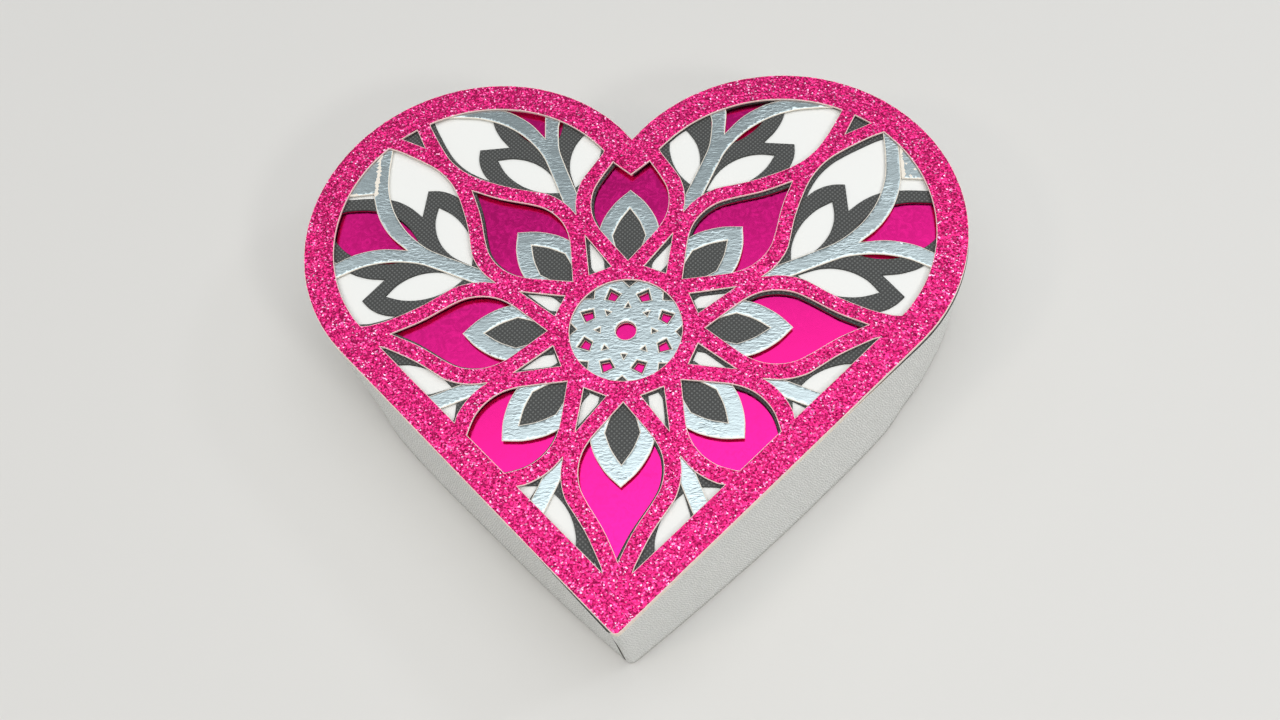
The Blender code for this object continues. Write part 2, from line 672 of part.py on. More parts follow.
# Skirt: two strips that meet at the cleft and at the tip, where the right one's end covers the left one
strip("lid_skirt_right", SKIRT_INSET, SKIRT_CARD, SKIRT_LIFT, WALL_TOP, 1, 0.0, BOW_RIGHT, TIP_DRAW,
      SKIRT_ROWS, wall_card)
strip("lid_skirt_left", SKIRT_INSET, SKIRT_CARD, SKIRT_LIFT, WALL_TOP, -1, SKIRT_CARD + JOIN_GAP, BOW_LEFT,
      TIP_DRAW, SKIRT_ROWS, wall_card)

# Tray: a heart of card with two strips standing on its edge
tray_bottom = slab("tray_bottom", [heart(TRAY_INSET)], 0.0, TRAY_CARD, box)
tray_bottom.data.materials.append(white)
TRAY_FOOT = TRAY_CARD + JOIN_GAP
strip("tray_wall_right", TRAY_INSET, TRAY_CARD, TRAY_FOOT, WALL_TOP, 1, 0.0, 0.0, 0.0, 1, white)
strip("tray_wall_left", TRAY_INSET, TRAY_CARD, TRAY_FOOT, WALL_TOP, -1, TRAY_CARD + JOIN_GAP, 0.0, 0.0, 1,
      white)
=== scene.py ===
# The finish of a heart-shaped keepsake box in card: tray, skirt, and the five cut cards of the lid's top.
# Metres, +Z up, the tip towards -Y. Sections follow the box as it is put together, from the tray up.
import math

import bpy
import numpy as np
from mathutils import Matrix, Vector
from mathutils.geometry import delaunay_2d_cdt


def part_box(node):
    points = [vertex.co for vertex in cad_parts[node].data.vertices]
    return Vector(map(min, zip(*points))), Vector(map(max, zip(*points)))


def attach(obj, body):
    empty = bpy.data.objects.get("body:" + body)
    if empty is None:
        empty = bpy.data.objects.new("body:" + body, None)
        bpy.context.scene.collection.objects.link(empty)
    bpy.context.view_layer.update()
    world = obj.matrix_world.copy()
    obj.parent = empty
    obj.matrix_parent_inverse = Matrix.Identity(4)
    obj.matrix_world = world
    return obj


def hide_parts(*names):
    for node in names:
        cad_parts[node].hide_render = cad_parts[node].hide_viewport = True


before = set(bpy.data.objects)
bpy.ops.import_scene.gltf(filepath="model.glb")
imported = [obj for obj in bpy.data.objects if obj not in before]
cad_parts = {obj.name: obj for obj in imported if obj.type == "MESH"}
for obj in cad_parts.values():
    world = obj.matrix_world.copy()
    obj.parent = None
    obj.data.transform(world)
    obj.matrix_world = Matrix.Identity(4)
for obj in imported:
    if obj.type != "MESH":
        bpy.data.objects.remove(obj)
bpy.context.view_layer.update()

# Camera, floor and light
# The camera looks down on the lid from beyond the tip, a little to the right. The studio is a soft, dim
# room with a broad bright patch of ceiling and two small ones, which the foils reflect, and three small
# lamps for sparkle.
MM = 0.001
PHOTO_WIDTH = 1280.0
FOCAL_PIXELS = 1300.0
CAMERA_PLACE = (27.62 * MM, -119.2 * MM, 263.34 * MM)
CAMERA_TURN = (25.75, 5.31, 1.46)      # degrees about X, then Y, then Z
FLOOR_SIZE = 1.6
FLOOR_COLOR = "#D9D7D2"
ROOM_COLOR = "#FAFCFF"
ROOM_LIGHT = 0.36
PATCH_LIGHT = 2.1
PATCH_CENTRE = (0.12, -0.3)            # on a ceiling one unit above the box
PATCH_INNER = 0.56                     # the patch starts to fade at this radius
PATCH_OUTER = 1.03                     # and has faded out at this one
PATCH_FRONT = (-0.75, -0.25)           # where, towards the viewer, it has faded out and where it is whole
SIDE_PATCHES = ((-0.75, 0.55), (0.52, 0.75))
SIDE_LIGHT = 1.0
SIDE_INNER = 0.1                       # their radii, as above
SIDE_OUTER = 0.5
LOWEST_CEILING = 0.02                  # directions lower than this share the light of this one
LAMPS = (  # place, size, watts, colour
    ((0.45, -0.45, 0.60), 0.10, 1.1, "#FFFFFF"),
    ((0.62, 0.20, 0.60), 0.10, 0.5, "#F4F8FF"),
    ((-0.50, -0.30, 0.70), 0.10, 0.5, "#FFF4E6"),
)


def linear(hex_color):
    """The linear RGBA of an sRGB hex colour."""
    values = [int(hex_color[i:i + 2], 16) / 255 for i in (1, 3, 5)]
    return (*[v / 12.92 if v <= 0.04045 else ((v + 0.055) / 1.055) ** 2.4 for v in values], 1.0)


def add(tree, kind, inputs=None, **settings):
    """Adds a node. settings are its properties, and inputs give each socket a value or a socket to link."""
    made = tree.nodes.new(kind)
    for name, value in settings.items():
        setattr(made, name, value)
    for name, value in (inputs or {}).items():
        if isinstance(value, bpy.types.NodeSocket):
            tree.links.new(value, made.inputs[name])
        else:
            made.inputs[name].default_value = value
    return made


def material(name, hex_color, roughness, metallic=0.0):
    """A new material with one Principled shader: returns the material, its node tree and the shader."""
    made = bpy.data.materials.new(name)
    made.use_nodes = True
    shader = made.node_tree.nodes["Principled BSDF"]
    shader.inputs["Base Color"].default_value = linear(hex_color)
    shader.inputs["Roughness"].default_value = roughness
    shader.inputs["Metallic"].default_value = metallic
    return made, made.node_tree, shader


view = bpy.data.cameras.new("camera")
view.sensor_width = 36.0
view.lens = 36.0 * FOCAL_PIXELS / PHOTO_WIDTH
view.clip_start = 0.01
camera = bpy.data.objects.new("camera", view)
camera.location = CAMERA_PLACE
camera.rotation_euler = [math.radians(angle) for angle in CAMERA_TURN]
bpy.context.scene.collection.objects.link(camera)
bpy.context.scene.camera = camera

half_floor = FLOOR_SIZE / 2
floor_mesh = bpy.data.meshes.new("floor")
floor_mesh.from_pydata([(-half_floor, -half_floor, 0), (half_floor, -half_floor, 0),
                        (half_floor, half_floor, 0), (-half_floor, half_floor, 0)], [], [(0, 1, 2, 3)])
floor = bpy.data.objects.new("floor", floor_mesh)
bpy.context.scene.collection.objects.link(floor)
floor_mesh.materials.append(material("pale_floor", FLOOR_COLOR, 0.7)[0])

for number, (place, size, watts, tint) in enumerate(LAMPS):
    lamp = bpy.data.lights.new(f"lamp_{number}", "AREA")
    lamp.size = size
    lamp.energy = watts
    lamp.color = linear(tint)[:3]
    lamp_object = bpy.data.objects.new(lamp.name, lamp)
    lamp_object.location = place
    lamp_object.rotation_euler = (-Vector(place)).to_track_quat("-Z", "Y").to_euler()
    bpy.context.scene.collection.objects.link(lamp_object)


def studio():
    """The room's light by direction: where a line that way meets a flat ceiling one unit up, bright within
    the patch's inner radius of its centre, the plain room outside its outer one, and smooth in between. It
    fades in the same way towards the viewer. The side patches are added to it."""
    world = bpy.data.worlds.new("studio")
    world.use_nodes = True
    tree = world.node_tree
    way = add(tree, "ShaderNodeTexCoord")
    parts = add(tree, "ShaderNodeSeparateXYZ", {"Vector": way.outputs["Generated"]})
    up = add(tree, "ShaderNodeMath", {0: parts.outputs["Z"], 1: LOWEST_CEILING}, operation="MAXIMUM")
    ceiling = []
    for axis, centre in zip("XY", PATCH_CENTRE):
        across = add(tree, "ShaderNodeMath", {0: parts.outputs[axis], 1: up.outputs[0]}, operation="DIVIDE")
        ceiling.append(add(tree, "ShaderNodeMath", {0: across.outputs[0], 1: centre}, operation="SUBTRACT"))
    whole = add(tree, "ShaderNodeCombineXYZ", {"X": ceiling[0].outputs[0], "Y": ceiling[1].outputs[0]})
    radius = add(tree, "ShaderNodeVectorMath", {0: whole.outputs[0]}, operation="LENGTH")
    within = add(tree, "ShaderNodeMapRange", {"Value": radius.outputs["Value"], "From Min": PATCH_INNER,
                                              "From Max": PATCH_OUTER, "To Min": 1.0, "To Max": 0.0},
                 interpolation_type="SMOOTHSTEP")
    behind = add(tree, "ShaderNodeMapRange", {"Value": ceiling[1].outputs[0],
                                              "From Min": PATCH_FRONT[0] - PATCH_CENTRE[1],
                                              "From Max": PATCH_FRONT[1] - PATCH_CENTRE[1]},
                 interpolation_type="SMOOTHSTEP")
    share = add(tree, "ShaderNodeMath", {0: within.outputs["Result"], 1: behind.outputs["Result"]},
                operation="MULTIPLY")
    light = add(tree, "ShaderNodeMapRange", {"Value": share.outputs[0], "To Min": ROOM_LIGHT,
                                             "To Max": PATCH_LIGHT})
    total = light.outputs["Result"]
    for x, y in SIDE_PATCHES:
        centre = (x - PATCH_CENTRE[0], y - PATCH_CENTRE[1], 0.0)
        away = add(tree, "ShaderNodeVectorMath", {0: whole.outputs[0], 1: centre}, operation="DISTANCE")
        glow = add(tree, "ShaderNodeMapRange", {"Value": away.outputs["Value"],
                                                "From Min": SIDE_INNER, "From Max": SIDE_OUTER,
                                                "To Min": SIDE_LIGHT, "To Max": 0.0},
                   interpolation_type="SMOOTHSTEP")
        both = add(tree, "ShaderNodeMath", {0: total, 1: glow.outputs["Result"]}, operation="ADD")
        total = both.outputs[0]
    background = tree.nodes["Background"]
    background.inputs["Color"].default_value = linear(ROOM_COLOR)
    tree.links.new(total, background.inputs["Strength"])
    return world


bpy.context.scene.world = studio()
bpy.context.scene.view_settings.view_transform = "Standard"

# Tray
# A heart of plain white card with two strips of the same card standing round its edge, glued. It shows
# only from below, and keeps its own solids.
TRAY_COLOR = "#E2E0DB"

tray_card, tray_tree, tray_shader = material("white_board", TRAY_COLOR, 0.75)
place = add(tray_tree, "ShaderNodeTexCoord")
# Card fibres, drawn about 1 mm long, so that they show
fibre = add(tray_tree, "ShaderNodeTexNoise", {"Vector": place.outputs["Object"], "Scale": 1 / (1.0 * MM),
                                              "Detail": 3.0})
tooth = add(tray_tree, "ShaderNodeBump", {"Height": fibre.outputs["Fac"], "Strength": 0.25,
                                          "Distance": 0.04 * MM})
tray_tree.links.new(tooth.outputs["Normal"], tray_shader.inputs["Normal"])
for name in ("tray_bottom", "tray_wall_left", "tray_wall_right"):
    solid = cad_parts[name]
    solid.data.materials.clear()
    solid.data.materials.append(tray_card)

# Lid skirt
# Two strips of white, linen-grained card on edge, from the cleft to the tip. The right one is wrapped round
# the tip and its wavy end lies over the left one. Their free lower edges have sprung outwards.
LOBE_RADIUS = 38.8 * MM
LOBE_SPREAD = 31.2 * MM
TIP_ROUND = 1.2 * MM
SKIRT_INSET = 0.6 * MM
SKIRT_CARD = 0.45 * MM
CORNER_ROUND = 0.8 * MM
COLUMNS = 260                          # points along a strip, and up it
ROWS = 18
BOW = {1: 1.9 * MM, -1: 1.6 * MM}      # right and left
BOW_LEAD = 3.0 * MM                    # how far before the straight side the swell starts
BOW_ONSET = 12.0 * MM                  # and over what length it comes in smoothly
BOW_SHIFT = 0.03                       # softens the start of the root that skews the swell
BOW_FADE = 1.4
LOBE_PULL = 1.0 * MM                   # how far the lobe beside the swell is drawn in, where it is most
PULL_PLACE = 11.0 * MM                 # before the straight side
PULL_REACH = 10.0 * MM
WAVE_HEIGHT = 0.1 * MM                 # the card is never quite flat
WAVE_REACH = 9 * MM
TIP_DRAW = 1.2 * MM
DRAW_POWER = 6
PROUD = 0.2 * MM                       # how far the right strip's free end stands off the left one
PROUD_RUN = 1.0 * MM
SEAM_GAP = 0.4 * MM
PAINTED_SEAM_SHADE = 0.4 * MM                      # how much of the left strip's end, next to the seam, is painted dark as the seam's shadow
SKIRT_RISE = 1.05 * MM                 # up to the mirror card, which lies higher than its solid
LINEN_PITCH = 0.5 * MM                 # of the threads
LINEN_TURN = 20.0                      # degrees
LINEN_BEND = 1.3 * MM                  # how far noise bends them
SKIRT_COLOR = "#DCDCD7"
CUT_CARD_COLOR = "#E9E4D8"
# Dark brown-grey: a painted shadow for the seam between the two strips
SEAM_SHADE_COLOR = "#3A352E"

TIP_DROP = LOBE_SPREAD + LOBE_RADIUS * math.sqrt(2)
LOBE_Y = (TIP_DROP - TIP_ROUND * (math.sqrt(2) - 1) - LOBE_RADIUS) / 2


def skirt_line(inset):
    """The skirt's outer face seen from above, from the cleft down the right side, round the tip and a
    little way up the left side: an arc of the lobe's circle, a line at 45 degrees, a quarter circle and a
    line again. Returns it with the distance along it, the start and length of the straight side, and where
    the quarter circle ends."""
    radius = LOBE_RADIUS - inset
    start = math.acos(-LOBE_SPREAD / radius)
    turn = np.linspace(start, -math.pi / 4, 160)
    lobe = np.stack([LOBE_SPREAD + radius * np.cos(turn), LOBE_Y + radius * np.sin(turn)], 1)
    corner = np.array([0.0, LOBE_Y - TIP_DROP + inset * math.sqrt(2)])
    middle = corner + [0.0, CORNER_ROUND * math.sqrt(2)]
    turn = np.linspace(-math.pi / 4, -3 * math.pi / 4, 16)
    nose = middle + CORNER_ROUND * np.stack([np.cos(turn), np.sin(turn)], 1)
    up = np.array([-1.0, 1.0]) / math.sqrt(2)
    share = np.linspace(0, 1, 60)[1:-1, None]
    straight = lobe[-1] * (1 - share) + nose[0] * share
    beyond = nose[-1] + up * np.linspace(0, 8 * MM, 12)[1:, None]
    line = np.concatenate([lobe, straight, nose, beyond])
    along = np.concatenate([[0.0], np.cumsum(np.linalg.norm(np.diff(line, axis=0), axis=1))])
    first = along[len(lobe) - 1]
    nose_start = len(lobe) + len(straight)
    return line, along, first, along[nose_start] - first, along[nose_start + len(nose) - 1]


def skirt_strip(name, side):
    """One strip as a grid of distance along the skirt by height, from 0 to 1. The lower edge is pushed
    outwards by BOW sin(pi t), which comes in by smoothstep. Here t runs from 0 to 1 as the root of the
    share of the straight side, so that it swells most near the lobe. The lobe's lower edge is drawn in by
    LOBE_PULL exp(-((distance + PULL_PLACE) / PULL_REACH)^2). Both fade as (1 - height)^BOW_FADE. The tip is
    drawn in by TIP_DRAW share^DRAW_POWER (1 - height). The right strip's end, past the tip, is a wave that
    draws in towards the table."""
    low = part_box(name)[0][2]
    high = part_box(name)[1][2] + SKIRT_RISE
    line, along, first, length, nose_end = skirt_line(SKIRT_INSET)
    height = np.linspace(0, 1, ROWS)[None, :]
    overlap = (0.1 + 1.0 * height ** 1.5 + 0.2 * np.sin(7.5 * height + 0.6)) * MM
    end = nose_end + overlap
    if side < 0:
        end = first + length - overlap - SEAM_GAP
    share = np.append(np.linspace(0, 1, COLUMNS - 1) ** 0.9, 1.0)[:, None]
    # The last column, next to the seam, is as wide as the painted seam shadow
    distance = np.minimum(share * end, end - PAINTED_SEAM_SHADE * (np.arange(COLUMNS) < COLUMNS - 1)[:, None])
    x = np.interp(distance, along, line[:, 0])
    y = np.interp(distance, along, line[:, 1])
    step = 0.05 * MM
    ahead_x = np.interp(distance + step, along, line[:, 0]) - np.interp(distance - step, along, line[:, 0])
    ahead_y = np.interp(distance + step, along, line[:, 1]) - np.interp(distance - step, along, line[:, 1])
    size = np.hypot(ahead_x, ahead_y)
    out_x = -ahead_y / size
    out_y = ahead_x / size
    where = np.clip((distance - first) / length, 0, 1)
    led = distance - first + BOW_LEAD
    share_led = np.clip(led / (length + BOW_LEAD), 0, 1)
    root = math.sqrt(BOW_SHIFT)
    early = (np.sqrt(share_led + BOW_SHIFT) - root) / (math.sqrt(1 + BOW_SHIFT) - root)
    onset = np.clip(led / BOW_ONSET, 0, 1)
    bow = BOW[side] * np.sin(math.pi * early) * onset ** 2 * (3 - 2 * onset)
    pull = LOBE_PULL * np.exp(-((distance - first + PULL_PLACE) / PULL_REACH) ** 2)
    push = (bow - pull) * (1 - height) ** BOW_FADE
    wave = WAVE_HEIGHT * np.sin(distance / WAVE_REACH + side)
    push = push + wave * np.sin(math.pi * where) * (1 - height)
    if side > 0:
        push = push + PROUD * np.clip((distance - nose_end) / PROUD_RUN, 0, 1)
    z = low + (high - low) * height + 0 * distance
    x = side * (x + push * out_x)
    y = y + push * out_y + TIP_DRAW * where ** DRAW_POWER * (1 - height)
    points = np.stack([x, y, z], 2).reshape(-1, 3)
    index = np.arange(COLUMNS * ROWS).reshape(COLUMNS, ROWS)
    quads = np.stack([index[:-1, :-1], index[1:, :-1], index[1:, 1:], index[:-1, 1:]], 2).reshape(-1, 4)
    if side < 0:
        quads = quads[:, ::-1]
    mesh = bpy.data.meshes.new(name)
    mesh.from_pydata(points.tolist(), [], quads.tolist())
    grain = mesh.uv_layers.new(name="card")
    corner = np.empty(len(mesh.loops), dtype=np.int32)
    mesh.loops.foreach_get("vertex_index", corner)
    spread = np.stack([distance + 0 * height, z], 2).reshape(-1, 2)
    grain.data.foreach_set("uv", spread[corner].astype(np.float32).ravel())
    mesh.shade_smooth()
    if side < 0:
        slots = np.zeros((COLUMNS - 1, ROWS - 1), dtype=np.int32)
        slots[-1] = 2      # the end, painted with the seam's shadow
        mesh.polygons.foreach_set("material_index", slots.ravel())
    return mesh


def linen_finish():
    """White card with an embossed linen weave: two sets of threads, each a sine wave over the card's own
    distance and height, turned by LINEN_TURN and bent by noise. A second noise, of 0.5 mm, breaks them up,
    so that only short crossing lines are left."""
    made, tree, shader = material("linen_card", SKIRT_COLOR, 0.72)
    card = add(tree, "ShaderNodeUVMap", uv_map="card")
    turned = add(tree, "ShaderNodeMapping", {"Vector": card.outputs["UV"],
                                             "Rotation": (0.0, 0.0, math.radians(LINEN_TURN))})
    wobble = add(tree, "ShaderNodeTexNoise", {"Vector": card.outputs["UV"], "Scale": 1 / (1.6 * MM),
                                              "Detail": 3.0})
    bent = add(tree, "ShaderNodeVectorMath", {0: wobble.outputs["Color"], 1: (LINEN_BEND,) * 3,
                                              2: turned.outputs["Vector"]}, operation="MULTIPLY_ADD")
    parts = add(tree, "ShaderNodeSeparateXYZ", {"Vector": bent.outputs["Vector"]})
    waves = []
    for axis in ("X", "Y"):
        phase = add(tree, "ShaderNodeMath", {0: parts.outputs[axis], 1: 2 * math.pi / LINEN_PITCH},
                    operation="MULTIPLY")
        waves.append(add(tree, "ShaderNodeMath", {0: phase.outputs[0]}, operation="SINE"))
    weave = add(tree, "ShaderNodeMath", {0: waves[0].outputs[0], 1: waves[1].outputs[0]},
                operation="MAXIMUM")
    fibres = add(tree, "ShaderNodeTexNoise", {"Vector": card.outputs["UV"], "Scale": 1 / (0.5 * MM),
                                              "Detail": 4.0})
    cloth = add(tree, "ShaderNodeMath", {0: weave.outputs[0], 1: fibres.outputs["Fac"]},
                operation="MULTIPLY")
    strong = add(tree, "ShaderNodeMath", {0: cloth.outputs[0], 1: 2.0}, operation="MULTIPLY")
    tone = add(tree, "ShaderNodeMix", {"Factor": strong.outputs[0], "A": linear("#CACAC5"),
                                       "B": linear("#F8F8F4")}, data_type="RGBA")
    bump = add(tree, "ShaderNodeBump", {"Height": strong.outputs[0], "Strength": 0.8,
                                        "Distance": 0.06 * MM})
    tree.links.new(tone.outputs["Result"], shader.inputs["Base Color"])
    tree.links.new(bump.outputs["Normal"], shader.inputs["Normal"])
    return made


linen = linen_finish()
cut_card = material("cut_card_edge", CUT_CARD_COLOR, 0.9)[0]
# The left strip's last column gets this dark colour, a painted shadow of the seam
painted_seam_card = material("painted_seam_shade", SEAM_SHADE_COLOR, 0.9)[0]
for side, name in ((1, "lid_skirt_right"), (-1, "lid_skirt_left")):
    skirt = bpy.data.objects.new(name.replace("lid_", "linen_"), skirt_strip(name, side))
    bpy.context.scene.collection.objects.link(skirt)
    for finish in (linen, cut_card, painted_seam_card):
        skirt.data.materials.append(finish)
    wall = skirt.modifiers.new("card", "SOLIDIFY")
    wall.thickness = SKIRT_CARD
    wall.offset = -1.0
    wall.use_even_offset = True
    wall.material_offset_rim = 1
    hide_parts(name)
    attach(skirt, "root")

# Mirror layer
# The whole heart in card faced with hot-pink mirror foil. It closes the lid, and shows in the petals and at
# the ends of the bays as a flat, glossy ground with faint scuffs.
# The five cards are glued face to face, so each is lifted over most of the gaps that the solids keep.
MIRROR_LIFT = 0.8 * MM
MIRROR_SPACING = 2.0 * MM              # between the points of its face
FLAT_DROP = 0.05 * MM                  # how far the rim of a flat card rounds down
JITTER = 0.3                           # how far the points are scattered, in spacings
CORE_COLOR = "#F0E4D4"
SHARP = math.radians(34.0)             # an outline turns more than this at a real corner
MITRE_LIMIT = 2.5                      # in distances


def outlines(name):
    """The outlines of a flat piece seen from above, as arrays of points, with its lower and upper height.
    They are the edges that only one of its upward faces has, chained end to end, with the material on the
    left."""
    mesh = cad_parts[name].data
    points = np.empty(len(mesh.vertices) * 3)
    mesh.vertices.foreach_get("co", points)
    points = points.reshape(-1, 3)
    mesh.calc_loop_triangles()
    corners = np.empty(len(mesh.loop_triangles) * 3, dtype=np.int64)
    mesh.loop_triangles.foreach_get("vertices", corners)
    keys = np.round(points / (0.001 * MM)).astype(np.int64)
    _, first, merged = np.unique(keys, axis=0, return_index=True, return_inverse=True)
    merged = merged.reshape(-1)
    faces = merged[corners].reshape(-1, 3)
    spots = points[first]
    top = spots[:, 2].max()
    upper = faces[(spots[faces][:, :, 2] > top - 0.01 * MM).all(axis=1)]
    starts = upper.ravel()
    ends = np.roll(upper, -1, axis=1).ravel()
    pairs = set(zip(starts.tolist(), ends.tolist()))
    following = {a: b for a, b in pairs if (b, a) not in pairs}
    loops = []
    while following:
        here, ahead = following.popitem()
        chain = [here]
        while ahead != chain[0]:
            chain.append(ahead)
            ahead = following.pop(ahead)
        loops.append(spots[chain][:, :2])
    return loops, spots[:, 2].min(), top


def rounded(loop, step):
    """The loop drawn through its points in cubic curves, with points about step apart. At a corner that
    turns less than SHARP the curve runs along the mean of both sides, with a third of the shorter side as
    its handle. At a sharp corner, and so along a lone straight side, it follows the side."""
    after = np.roll(loop, -1, axis=0) - loop
    length = np.linalg.norm(after, axis=1)
    ahead = after / length[:, None]
    behind = np.roll(ahead, 1, axis=0)
    turn = np.arccos(np.clip((ahead * behind).sum(axis=1), -1, 1))
    mean = (ahead + behind) / np.maximum(np.linalg.norm(ahead + behind, axis=1), 1e-9)[:, None]
    soft = (turn < SHARP)[:, None]
    leave = np.where(soft, mean, ahead)
    arrive = np.where(soft, mean, behind)
    handle = np.minimum(length, np.roll(length, 1))[:, None] / 3
    leave = leave * np.where(soft, handle, length[:, None] / 3)
    arrive = arrive * np.where(soft, handle, np.roll(length, 1)[:, None] / 3)
    counts = np.maximum(1, np.ceil(length / step)).astype(int)
    side = np.repeat(np.arange(len(loop)), counts)
    share = np.concatenate([np.arange(count) / count for count in counts])[:, None]
    end = np.roll(loop, -1, axis=0)[side]
    into = end - np.roll(arrive, -1, axis=0)[side]
    start = loop[side]
    away = start + leave[side]
    rest = 1 - share
    return (rest ** 3 * start + 3 * rest ** 2 * share * away + 3 * rest * share ** 2 * into
            + share ** 3 * end)


def moved_in(loop, distance):
    """The loop moved to its left by distance, each corner along its mitre, which MITRE_LIMIT cuts short."""
    before = loop - np.roll(loop, 1, axis=0)
    after = np.roll(loop, -1, axis=0) - loop
    before = before / np.linalg.norm(before, axis=1)[:, None]
    after = after / np.linalg.norm(after, axis=1)[:, None]
    mitre = np.stack([-before[:, 1] - after[:, 1], before[:, 0] + after[:, 0]], 1)
    size = np.linalg.norm(mitre, axis=1)[:, None]
    return loop + mitre / size * distance * np.minimum(2 / size, MITRE_LIMIT)


def inside(spots, loops):
    """Whether each spot lies on the material: a line to its right crosses the outlines an odd number of
    times."""
    odd = np.zeros(len(spots), dtype=bool)
    for loop in loops:
        after = np.roll(loop, -1, axis=0)
        for (ax, ay), (bx, by) in zip(loop, after):
            if ay == by:
                continue
            row = (spots[:, 1] < max(ay, by)) & (spots[:, 1] >= min(ay, by))
            cross = ax + (spots[row, 1] - ay) * (bx - ax) / (by - ay)
            hits = np.flatnonzero(row)[spots[row, 0] < cross]
            odd[hits] = ~odd[hits]
    return odd


def triangulated(loops, spots):
    """Triangles over the material between the loops, through the loops' points and the spots. Returns the
    places of all points, the triangles, and for each loop point its number among the places."""
    rings = np.concatenate(loops)
    edges = []
    first = 0
    for loop in loops:
        count = len(loop)
        edges += [(first + i, first + (i + 1) % count) for i in range(count)]
        first += count
    everything = np.concatenate([rings, spots]) / MM
    found = delaunay_2d_cdt([Vector(p) for p in everything.tolist()], edges, [], 0, 1e-6, True)
    places = np.array([tuple(v) for v in found[0]]) * MM
    faces = np.array(found[2])
    faces = faces[inside(places[faces].mean(axis=1), loops)]
    number = np.zeros(len(everything), dtype=int)
    for made, given in enumerate(found[3]):
        number[given] = made
    a, b, c = (places[faces[:, i]] for i in range(3))
    turn = (b[:, 0] - a[:, 0]) * (c[:, 1] - a[:, 1]) - (b[:, 1] - a[:, 1]) * (c[:, 0] - a[:, 0])
    faces[turn < 0] = faces[turn < 0][:, ::-1]
    return places, faces, number[:len(rings)]


def cut_sheet(piece, node, lift, spacing, face, edge, relief, rim=0.12 * MM, drop=0.08 * MM, ragged=0.0,
              trim=0.0, seed=1, step=0.8 * MM):
    """A card cut to the outlines of a CAD node, as one closed mesh: a face of triangles over scattered
    points, whose height is the top plus relief of their places, then a narrow rim that rounds down to
    the cut, the cut wall and the back. Its longest outline is moved in by trim, and wanders inwards by up
    to ragged more."""
    draw = np.random.default_rng(seed)
    loops, low, top = outlines(node)
    low = low + lift
    top = top + lift
    corners = np.concatenate(loops)
    outer = [np.clip(rounded(loop, step), corners.min(axis=0), corners.max(axis=0)) for loop in loops]
    if ragged or trim:
        longest = max(range(len(outer)), key=lambda number: len(outer[number]))
        rim_line = outer[longest]
        wave = trim + draw.uniform(0, ragged, len(rim_line))[:, None]
        outer[longest] = rim_line + (moved_in(rim_line, 1.0) - rim_line) * wave
    inner = [moved_in(loop, rim) for loop in outer]
    spread = np.abs(np.concatenate(inner)).max(axis=0)
    columns = np.arange(-spread[0], spread[0], spacing)
    rows = np.arange(-spread[1], spread[1], spacing * math.sqrt(3) / 2)
    grid_x, grid_y = np.meshgrid(columns, rows)
    grid_x[1::2] += spacing / 2
    spots = np.stack([grid_x, grid_y], 2).reshape(-1, 2)
    spots = spots + draw.uniform(-JITTER, JITTER, spots.shape) * spacing
    spots = spots[inside(spots, inner)]
    places, faces, ring = triangulated(inner, spots)
    heights = top + relief(places, draw)
    base, base_faces, base_ring = triangulated(outer, np.zeros((0, 2)))
    edge_points = np.concatenate(outer)
    count = len(places)
    after = np.concatenate([np.roll(np.arange(len(loop)), -1) + start for loop, start in
                            zip(outer, np.cumsum([0] + [len(loop) for loop in outer[:-1]]))])
    here = np.arange(len(edge_points))
    lip = count + here
    foot = count + len(edge_points) + base_ring[here]
    rim_faces = np.stack([lip[here], lip[after], ring[after], ring[here]], 1)
    wall_faces = np.stack([lip[after], lip[here], foot[here], foot[after]], 1)
    back_faces = base_faces[:, ::-1] + count + len(edge_points)
    points = np.concatenate([np.column_stack([places, heights]),
                             np.column_stack([edge_points, np.full(len(edge_points), top - drop)]),
                             np.column_stack([base, np.full(len(base), low)])])
    mesh = bpy.data.meshes.new(piece)
    mesh.from_pydata(points.tolist(), [], faces.tolist() + rim_faces.tolist() + wall_faces.tolist()
                     + back_faces.tolist())
    mesh.materials.append(face)
    mesh.materials.append(edge)
    slots = np.ones(len(mesh.polygons), dtype=np.int32)
    slots[:len(faces)] = 0
    mesh.polygons.foreach_set("material_index", slots)
    made = bpy.data.objects.new(piece, mesh)
    bpy.context.scene.collection.objects.link(made)
    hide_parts(node)
    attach(made, "root")
    return made


def flat(places, draw):
    """No relief."""
    return np.zeros(len(places))


def mirror_finish():
    """Hot-pink mirror foil: a metal with low roughness, laid on card that is not quite flat, with faint
    rubbed patches that are duller."""
    made, tree, shader = material("pink_mirror_foil", "#F12490", 0.14, 1.0)
    spot = add(tree, "ShaderNodeTexCoord")
    swell = add(tree, "ShaderNodeTexNoise", {"Vector": spot.outputs["Object"], "Scale": 1 / (9 * MM),
                                             "Detail": 2.0})
    bump = add(tree, "ShaderNodeBump", {"Height": swell.outputs["Fac"], "Strength": 0.12,
                                        "Distance": 0.2 * MM})
    rub = add(tree, "ShaderNodeTexNoise", {"Vector": spot.outputs["Object"], "Scale": 1 / (2 * MM),
                                           "Detail": 6.0, "Distortion": 2.5})
    dull = add(tree, "ShaderNodeMapRange", {"Value": rub.outputs["Fac"], "From Min": 0.4, "From Max": 0.75,
                                            "To Min": 0.11, "To Max": 0.32})
    tree.links.new(dull.outputs["Result"], shader.inputs["Roughness"])
    tree.links.new(bump.outputs["Normal"], shader.inputs["Normal"])
    return made


core = material("card_core", CORE_COLOR, 0.95)[0]
mirror = cut_sheet("mirror_card", "pink_mirror_layer", MIRROR_LIFT, MIRROR_SPACING, mirror_finish(), core,
                   flat, drop=FLAT_DROP)

# White layer
# Smooth white card, cut open below the petals and at the ends of the bays, where the mirror foil shows.
WHITE_LIFT = 0.6 * MM
WHITE_SPACING = 3.0 * MM
WHITE_COLOR = "#EEEEE9"


